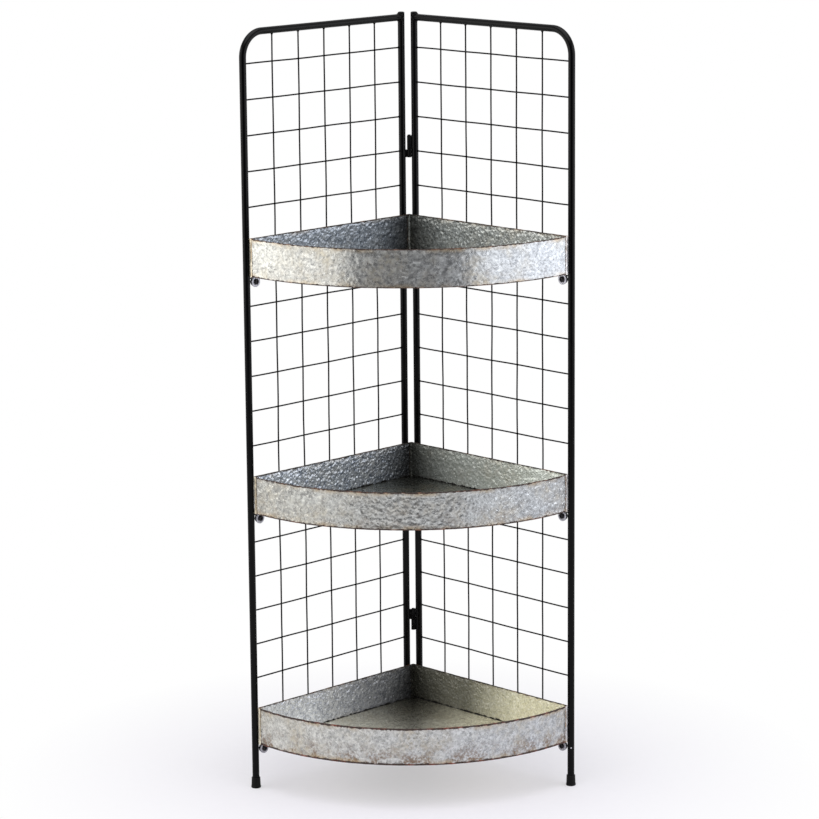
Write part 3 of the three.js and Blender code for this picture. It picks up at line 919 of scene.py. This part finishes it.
def knuckle(low, high, post_x):
    """A barrel about the pin, joined to its post by a web with a bead on either side."""
    way = math.copysign(1, post_x)
    bore = PIN_RADIUS + PIN_GAP
    profile = [(bore, low), (BARREL_RADIUS, low), (BARREL_RADIUS, high), (bore, high)]
    shape = round_piece(profile, 0.5 * MM)
    near, far = sorted((way * BARREL_RADIUS * 0.7, post_x - way * TUBE_RADIUS * 0.8))
    web = (near, -WEB_HALF, low + 0.2 * MM), (far, WEB_HALF, high - 0.2 * MM)
    shape.loft(block(*web, BEVEL))
    for y in (-WEB_HALF, WEB_HALF):
        contact = post_x - way * math.sqrt(TUBE_RADIUS ** 2 - y ** 2)
        shape.loft(weld_run(contact, y, WEB_WELD_RADIUS, low + 0.5 * MM, high - 0.5 * MM))
    return shape


def hinge_pin(low, top):
    neck = top - PIN_HEAD_HEIGHT
    profile = [(CORE, low), (PIN_RADIUS, low), (PIN_RADIUS, neck), (PIN_HEAD_RADIUS, neck),
               (PIN_HEAD_RADIUS, top - 0.6 * MM), (PIN_HEAD_RADIUS * 0.55, top), (CORE, top)]
    return round_piece(profile, 0.6 * MM)


def dress_hinge(name, panels, finishes):
    """Two knuckles, each welded to its own post, on one headed pin."""
    pin_low, pin_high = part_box(f"{name}_hinge_pin")
    axis = (pin_low + pin_high) / 2
    coat = finishes["black_frame"]
    here = Matrix.Translation((axis.x, axis.y, 0))
    for side, panel in zip(SIDES, panels):
        node = f"{name}_hinge_{side}_knuckle"
        low, high = (corner.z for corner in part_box(node))
        post_x = panel.matrix.translation.x - axis.x
        shape = knuckle(low, high, post_x)
        if side == "right":
            contact = post_x - math.sqrt(TUBE_RADIUS ** 2 - LONG_WELD_PLACE ** 2)
            shape.loft(weld_run(contact, LONG_WELD_PLACE, LONG_WELD_RADIUS, pin_low.z, pin_high.z))
        add_piece(node, shape, here, panel.body, "black_frame", coat)
    pin = hinge_pin(pin_low.z, pin_high.z)
    add_piece(f"{name}_hinge_pin", pin, here, "left_panel", "black_frame", coat)


# Trays

class Tray:
    """The frame of one tray: x along the left wall, y along the right one, z up from its foot."""

    def __init__(self, tier):
        self.tier = tier
        self.body = f"{tier}_tray"
        low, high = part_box(f"{tier}_tray_left_wall")
        slant = math.sqrt(0.5)
        self.height = high.z - low.z
        self.matrix = facing((-slant, -slant, 0), (slant, -slant, 0), (0, 0, 1),
                             (0, high.y, low.z))
        reach = high.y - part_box(f"{tier}_tray_front_wall")[0].y
        diagonal = math.sqrt(2)
        self.bow_centre = (reach ** 2 - TRAY_SIDE ** 2) / (2 * (diagonal * reach - TRAY_SIDE))
        self.bow_radius = reach - diagonal * self.bow_centre
        self.seed = TRAY_SEEDS[tier]

    def bow_angle(self, radius, offset):
        return math.asin((offset - self.bow_centre) / radius)

    def arc(self, radius, turns):
        return np.stack([np.cos(turns), np.sin(turns)], axis=1) * radius + self.bow_centre

    def bow(self, radius, start, end):
        """Places along the bowed front, from one angle to another."""
        count = max(int(radius * (end - start) / SHEET_STEP), 2)
        return self.arc(radius, np.linspace(start, end, count + 1))

    def wear_and_shade(self, part, shape):
        """Each place's distance to a raw edge and to a seam, for wear, and to the back corner, for
        the painted shade.
        """
        x, y, z = np.array(shape.points).T
        if part == "floor":
            rim = self.bow_radius - np.hypot(x - self.bow_centre, y - self.bow_centre)
            seam = np.minimum(np.minimum(x, y), rim) - SEAM_INSET
            # A wedge of painted shade and painted reflection of the corner runs down the floor's
            # diagonal
            lean = np.where(y > x, *FLOOR_SHADE_LEANS[self.tier])
            return np.full_like(z, NOWHERE), seam, FLOOR_SHADE_SPREAD * (x + y) + lean * np.abs(x - y)
        edge = np.minimum(z, self.height - z)
        if part != "front_wall":
            edge = np.minimum(edge, shape.from_end)
        corner = np.hypot(x, y)
        seam = np.where(shape.inside, np.minimum(np.abs(z - FLOOR_RISE), corner), NOWHERE)
        corner = np.where(shape.inside, corner, NOWHERE)
        # Painted highlight on the fold at the corner: it is spared the painted corner shade and
        # the seam dirt
        if part == "right_wall" and self.tier in FOLD_HIGHLIGHT_PLACES:
            fold = np.hypot(x - SHEET / 2, y - 1.5 * SHEET - JOIN_GAP) < FOLD_HIGHLIGHT_WIDTH
            corner[fold] = FOLD_HIGHLIGHT_PLACES[self.tier]
            seam[fold] = NOWHERE
        return edge, seam, corner

    def add(self, part, shape, finishes, tab=None):
        """One sheet of the tray. Where it has a tab, the tab's faces take its own finish."""
        piece = add_piece(f"{self.tier}_tray_{part}", shape, self.matrix, self.body,
                          "galvanised_sheet", finishes[part], sharp=50)
        edge, seam, corner = self.wear_and_shade(part, shape)
        keep_values(piece, "edge_mm", np.clip(edge / MM, 0, WEAR_REACH_MM))
        keep_values(piece, "seam_mm", np.clip(seam / MM, 0, WEAR_REACH_MM))
        # The corner distance drives the painted shade in the finish
        keep_values(piece, "corner_mm", corner / MM)
        if tab:
            piece.data.materials.append(finishes[tab])
            folded = np.array(shape.points)[:, :2].max(axis=1) > TRAY_SIDE
            for face in piece.data.polygons:
                face.material_index = int(folded[face.vertices[0]])


def straight(start, end):
    count = max(int(np.linalg.norm(np.subtract(end, start)) / SHEET_STEP), 1)
    return np.linspace(start, end, count + 1)


def sheet_wall(tray, line, seed, size, depth):
    """A hammered sheet that stands on a line, with the tray's inside to the left of its way."""
    line = np.array(line)
    steps = np.linalg.norm(np.diff(line, axis=0), axis=1)
    along = np.concatenate([[0], np.cumsum(steps)])
    ahead = np.gradient(line, axis=0)
    ahead /= np.linalg.norm(ahead, axis=1)[:, None]
    inward = np.stack([-ahead[:, 1], ahead[:, 0]], axis=1)
    top = tray.height + RIM_WAVE * (wave(along, RIM_WAVES, seed) - 1)
    bottom = FOOT_WAVE * (1 + wave(along, FOOT_WAVES, seed + 1))
    levels = np.linspace(0, 1, int(tray.height / SHEET_STEP) + 1)
    up = bottom[:, None] + (top - bottom)[:, None] * levels
    blows = hammered(along[:, None], up, size, seed + 2)
    fine = hammered(along[:, None], up, size * FINE_SIZE, seed + 3)
    from_end = np.minimum(along, along[-1] - along)
    calm = np.clip(from_end / CALM_REACH, CALM_LEAST, 1)[:, None]
    rims = np.clip(np.minimum(levels, 1 - levels) * RIM_CALM, RIM_LEAST, 1)
    dent = depth * ((1 - FINE_SHARE) * blows + FINE_SHARE * fine) * calm * rims
    place = np.repeat(line[:, None, :], len(levels), axis=1) + inward[:, None, :] * dent[..., None]
    half = inward[:, None, :] * SHEET / 2
    outwards = np.where(from_end < FREE_END, PRESSED, 1.0)[:, None, None]
    inner = np.concatenate([place + half, up[..., None]], axis=2)
    outer = np.concatenate([place - half * outwards, up[..., None]], axis=2)
    shape = Shape().loft([np.concatenate([a, b[::-1]]) for a, b in zip(inner, outer)])
    shape.from_end = np.repeat(from_end, 2 * len(levels))
    shape.inside = np.tile(np.arange(2 * len(levels)) < len(levels), len(line))
    return shape


def side_line(tray, start):
    """A side wall's line from a start near the corner to the end of its tab, as on the left."""
    radius = tray.bow_radius + JOIN_GAP + SHEET / 2
    bend = tray.bow_angle(radius, SHEET / 2)
    corner = tray.bow_centre + radius * math.cos(bend), SHEET / 2
    before = corner[0] - TAB_BEND, corner[1]
    tab = tray.bow(radius, bend, bend + TAB_WIDTH / radius)
    fold = rounded([before, corner, tab[1]], FOLD_RADIUS)[1:-1]
    return np.concatenate([straight(start, before), fold, tab[1:]])


def right_line(tray):
    """The right wall has a flange at the corner that laps over the left wall's inner face."""
    start = FLANGE_BEND, SHEET / 2
    lap = 1.5 * SHEET + JOIN_GAP
    flange = rounded([(lap, FLANGE_WIDTH), (lap, SHEET / 2), start], FOLD_RADIUS)[:-1]
    whole = np.concatenate([flange, side_line(tray, start)])
    return whole[::-1, ::-1]


def front_line(tray):
    radius = tray.bow_radius - SHEET / 2
    start = tray.bow_angle(radius, SHEET + JOIN_GAP)
    return tray.bow(radius, start, math.pi / 2 - start)


def floor_border(tray, inset, tuck):
    """The floor's outline at an inset from the trays' faces, tucked clear of the flange."""
    radius = tray.bow_radius - inset
    start = tray.bow_angle(radius, inset)
    x_end = tray.bow_centre + radius * math.cos(start)
    side = np.linspace(inset, x_end, FLOOR_STEPS + 1)
    left = np.stack([side, np.full_like(side, inset)], axis=1)
    bow = tray.arc(radius, np.linspace(start, math.pi / 2 - start, FLOOR_STEPS + 1))
    right = left[::-1, ::-1]
    border = np.concatenate([left[:-1], bow[:-1], right[:-1]])
    lapped = border[:, 0] < FLANGE_WIDTH + 1.5 * MM
    border[lapped, 1] = np.maximum(border[lapped, 1], inset + tuck)
    return border


def tray_floor(tray):
    """A pan with a rolled shoulder and a ragged turned-down edge, pressed slightly uneven."""
    edge = SHEET + JOIN_GAP
    hub = np.array((FLOOR_HUB, FLOOR_HUB))

    def ring(inset, z, share=1.0):
        border = floor_border(tray, inset, edge)
        along = np.arange(len(border)) * SHEET_STEP * 2
        ragged = FLOOR_RAGGED * (1 + wave(along, RAGGED_WAVES, tray.seed + 7))
        pulled = hub + (border - hub) * (1 - ragged / (200 * MM))[:, None] * share
        x, y = pulled.T
        uneven = FLOOR_UNEVEN * (wave(x, ACROSS_WAVES, tray.seed)
                                 + wave(y, ALONG_WAVES, tray.seed + 1))
        uneven -= FLOOR_DENT * hammered(x, y, FLOOR_BLOW, tray.seed + 2)
        height = z + (uneven - FLOOR_SAG) * (1 - share ** 8)
        return np.concatenate([pulled, height[:, None]], axis=1)

    shares = np.linspace(*FLOOR_SHARES)
    rings = [ring(edge + 0.3 * MM, FLOOR_RISE - SHEET, share) for share in shares]
    rings += [ring(edge + SHEET, z) for z in (FLOOR_RISE - 1.6 * MM, 0.2 * MM)]
    rings += [ring(edge, z) for z in (0.0, FLOOR_RISE - 1.2 * MM)]
    rings += [ring(edge + 0.35 * MM, FLOOR_RISE - 0.35 * MM), ring(edge + 1.2 * MM, FLOOR_RISE)]
    rings += [ring(edge + 0.3 * MM, FLOOR_RISE, share) for share in shares[::-1]]
    shape = Shape().loft(rings)
    shape.faces = [face[::-1] for face in shape.faces]
    return shape


def dress_tray(tier, finishes):
    tray = Tray(tier)
    left = sheet_wall(tray, side_line(tray, (0, SHEET / 2)), tray.seed + 20, *BLOWS[tier])
    right = sheet_wall(tray, right_line(tray), tray.seed + 30, *BLOWS[tier])
    front = sheet_wall(tray, front_line(tray), tray.seed + 40, *FRONT_BLOWS[tier])
    tray.add("left_wall", left, finishes, tab="left_tab")
    tray.add("right_wall", right, finishes, tab="right_tab")
    tray.add("front_wall", front, finishes)
    tray.add("floor", tray_floor(tray), finishes)


# Stage

def make_camera():
    data = bpy.data.cameras.new("camera")
    data.lens = CAMERA_LENS
    data.sensor_width = CAMERA_SENSOR
    data.clip_end = CAMERA_REACH
    camera = add_object("camera", data)
    turns = (Matrix.Rotation(math.radians(CAMERA_YAW), 4, "Z")
             @ Matrix.Rotation(math.radians(90 + CAMERA_PITCH), 4, "X")
             @ Matrix.Rotation(math.radians(CAMERA_ROLL), 4, "Z"))
    camera.matrix_world = Matrix.Translation(CAMERA_PLACE) @ turns
    bpy.context.scene.camera = camera


def make_lights():
    for name, (place, size, power, colour) in SOFTBOXES.items():
        data = bpy.data.lights.new(name, "AREA")
        data.shape = "RECTANGLE"
        data.size, data.size_y = size
        data.energy = power
        data.color = colour
        lamp = add_object(name, data)
        lamp.location = place
        way = Vector(LIGHT_TARGET) - Vector(place)
        lamp.rotation_euler = way.to_track_quat("-Z", "Y").to_euler()


def make_world():
    """A soft fill. What looks straight out sees white, and metal sees it behind and above."""
    world = bpy.data.worlds.new("studio")
    bpy.context.scene.world = world
    world.use_nodes = True
    nodes = Nodes(world.node_tree)
    nodes.tree.nodes.clear()
    path = nodes.node("ShaderNodeLightPath").outputs
    way = nodes.node("ShaderNodeTexCoord").outputs["Generated"]
    way = nodes.node("ShaderNodeSeparateXYZ", {0: way}).outputs
    behind = nodes.share(way["Y"], -0.3, 0.25, 0.15, 0.9)
    above = nodes.share(way["Z"], 0.3, 0.9, 0.12, 1.0)
    mirrored = nodes.math("MAXIMUM", behind, above)
    fill = nodes.between(path["Is Glossy Ray"], FILL, mirrored)
    clear = nodes.math("MAXIMUM", path["Is Camera Ray"], path["Is Transmission Ray"])
    strength = nodes.between(clear, fill, 1.0)
    background = nodes.node("ShaderNodeBackground", {"Color": (1, 1, 1, 1), "Strength": strength})
    nodes.node("ShaderNodeOutputWorld", {"Surface": background.outputs[0]})


def make_floor():
    """A pale floor that keeps the shadow and runs out to white, as the camera sees it."""
    mesh = bpy.data.meshes.new("floor")
    half = FLOOR_HALF
    corners = [(-half, -half, 0), (half, -half, 0), (half, half, 0), (-half, half, 0)]
    mesh.from_pydata(corners, [], [(0, 1, 2, 3)])
    floor = add_object("floor", mesh)
    finish = Finish("studio_floor")
    grain = finish.noise(60, detail=4)
    colour = finish.mix(grain, srgb(223, 220, 232), srgb(229, 226, 238))
    finish.set(Base_Color=colour, Roughness=0.75)
    length = finish.node("ShaderNodeVectorMath", {0: finish.place}, operation="LENGTH")
    far = finish.share(length.outputs["Value"], *FLOOR_FADE)
    path = finish.node("ShaderNodeLightPath").outputs
    seen = finish.math("MAXIMUM", path["Is Camera Ray"], path["Is Glossy Ray"])
    white = finish.node("ShaderNodeEmission", {"Color": (1, 1, 1, 1), "Strength": 1.0})
    blend = finish.node("ShaderNodeMixShader", {0: finish.times(far, seen),
                                                1: finish.shader.outputs[0], 2: white.outputs[0]})
    output = finish.tree.nodes["Material Output"]
    finish.feed(output.inputs["Surface"], blend.outputs[0])
    mesh.materials.append(finish.material)


make_camera()
make_world()
make_lights()
make_floor()
finishes = make_finishes()
panels = [dress_panel(side, finishes) for side in SIDES]
for name in ("upper", "lower"):
    dress_hinge(name, panels, finishes)
for tier in TIERS:
    dress_tray(tier, sheet_finishes(tier))
bpy.context.scene.view_settings.view_transform = "Standard"
